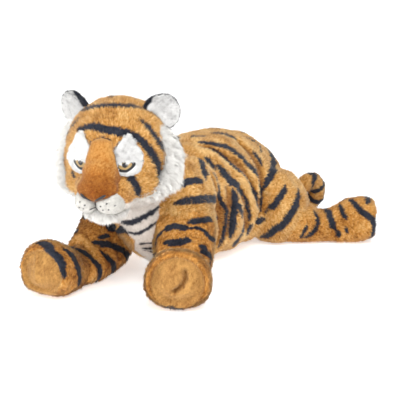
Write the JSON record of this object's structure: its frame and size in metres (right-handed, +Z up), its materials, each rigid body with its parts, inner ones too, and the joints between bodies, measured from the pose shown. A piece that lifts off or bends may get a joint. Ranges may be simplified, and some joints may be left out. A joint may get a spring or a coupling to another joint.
{
  "type": "plush tiger",
  "caption": "Large lying plush tiger with turning and nodding head, swinging legs, wagging tail, folding ears, and a flat belly to rest on",
  "frame": {"origin": "on the floor, in the middle of the flat of the belly", "axes": "+Z up, the tiger faces -Y, its own left is +X"},
  "size_m": [0.6152, 0.7768, 0.3624],
  "materials": {
    "amber_stitching": "satin stitches, amber",
    "chest_plush": "short pile, greyish white with dark stripes",
    "dark_stitching": "satin stitches or short pile, near black",
    "nose_plush": "very short smooth pile, darker orange",
    "orange_plush": "short pile, matt, warm orange with dark stripes",
    "polyester_filling": "loose white polyester fibre",
    "sole_plush": "short pile, light tan",
    "white_plush": "long soft pile, white"
  },
  "bodies": {
    "trunk": {"back_cover": "orange_plush", "belly_panel": "chest_plush", "trunk_filling": "polyester_filling"},
    "neck": {"neck_cover": "orange_plush", "neck_filling": "polyester_filling"},
    "head": {"chin_panel": "white_plush", "head_cover": "orange_plush", "head_filling": "polyester_filling", "left_eye_patch": "white_plush", "left_iris": "amber_stitching", "left_lid": "dark_stitching", "left_muzzle": "white_plush", "left_pupil": "dark_stitching", "left_ruff": "white_plush", "nose_bridge": "nose_plush", "right_eye_patch": "white_plush", "right_iris": "amber_stitching", "right_lid": "dark_stitching", "right_muzzle": "white_plush", "right_pupil": "dark_stitching", "right_ruff": "white_plush"},
    "left_ear": {"left_ear_back": "dark_stitching", "left_ear_front": "white_plush"},
    "right_ear": {"right_ear_back": "dark_stitching", "right_ear_front": "white_plush"},
    "left_front_leg": {"left_front_leg_cover": "orange_plush", "left_front_leg_filling": "polyester_filling", "left_front_sole": "sole_plush"},
    "right_front_leg": {"right_front_leg_cover": "orange_plush", "right_front_leg_filling": "polyester_filling", "right_front_sole": "sole_plush"},
    "left_hind_leg": {"left_hind_leg_cover": "orange_plush", "left_hind_leg_filling": "polyester_filling", "left_hind_sole": "sole_plush"},
    "right_hind_leg": {"right_hind_leg_cover": "orange_plush", "right_hind_leg_filling": "polyester_filling", "right_hind_sole": "sole_plush"},
    "tail": {"tail_cover": "orange_plush", "tail_filling": "polyester_filling"}
  },
  "joints": [
    {"name": "neck_turn", "type": "hinge", "parent": "trunk", "child": "neck", "pos_m": [0, -0.22, 0.193], "axis": [0, 0, 1], "range_deg": [-12, 12]},
    {"name": "head_nod", "type": "hinge", "parent": "neck", "child": "head", "pos_m": [0, -0.22, 0.193], "axis": [0.9613, 0.2756, 0], "range_deg": [-8, 8]},
    {"name": "left_ear_fold", "type": "hinge", "parent": "head", "child": "left_ear", "pos_m": [0.08825, -0.28832, 0.31914], "axis": [-0.5706, -0.5511, 0.6089], "range_deg": [0, 15], "stiffness_Nm_per_rad": 0.03},
    {"name": "right_ear_fold", "type": "hinge", "parent": "head", "child": "right_ear", "pos_m": [-0.03864, -0.32471, 0.31914], "axis": [-0.7759, 0.1649, -0.6089], "range_deg": [0, 15], "stiffness_Nm_per_rad": 0.03},
    {"name": "left_front_leg_swing", "type": "hinge", "parent": "trunk", "child": "left_front_leg", "pos_m": [0.082, -0.185, 0.0995], "axis": [0, 0, 1], "range_deg": [-6, 12]},
    {"name": "right_front_leg_swing", "type": "hinge", "parent": "trunk", "child": "right_front_leg", "pos_m": [-0.082, -0.185, 0.0995], "axis": [0, 0, -1], "range_deg": [-6, 12]},
    {"name": "left_hind_leg_swing", "type": "hinge", "parent": "trunk", "child": "left_hind_leg", "pos_m": [0.112, 0.127, 0.0745], "axis": [0, 0, 1], "range_deg": [-8, 12]},
    {"name": "right_hind_leg_swing", "type": "hinge", "parent": "trunk", "child": "right_hind_leg", "pos_m": [-0.112, 0.127, 0.0745], "axis": [0, 0, -1], "range_deg": [-8, 12]},
    {"name": "tail_wag", "type": "hinge", "parent": "trunk", "child": "tail", "pos_m": [0, 0.252, 0.07], "axis": [0, 0, 1], "range_deg": [-4, 20]}
  ]
}
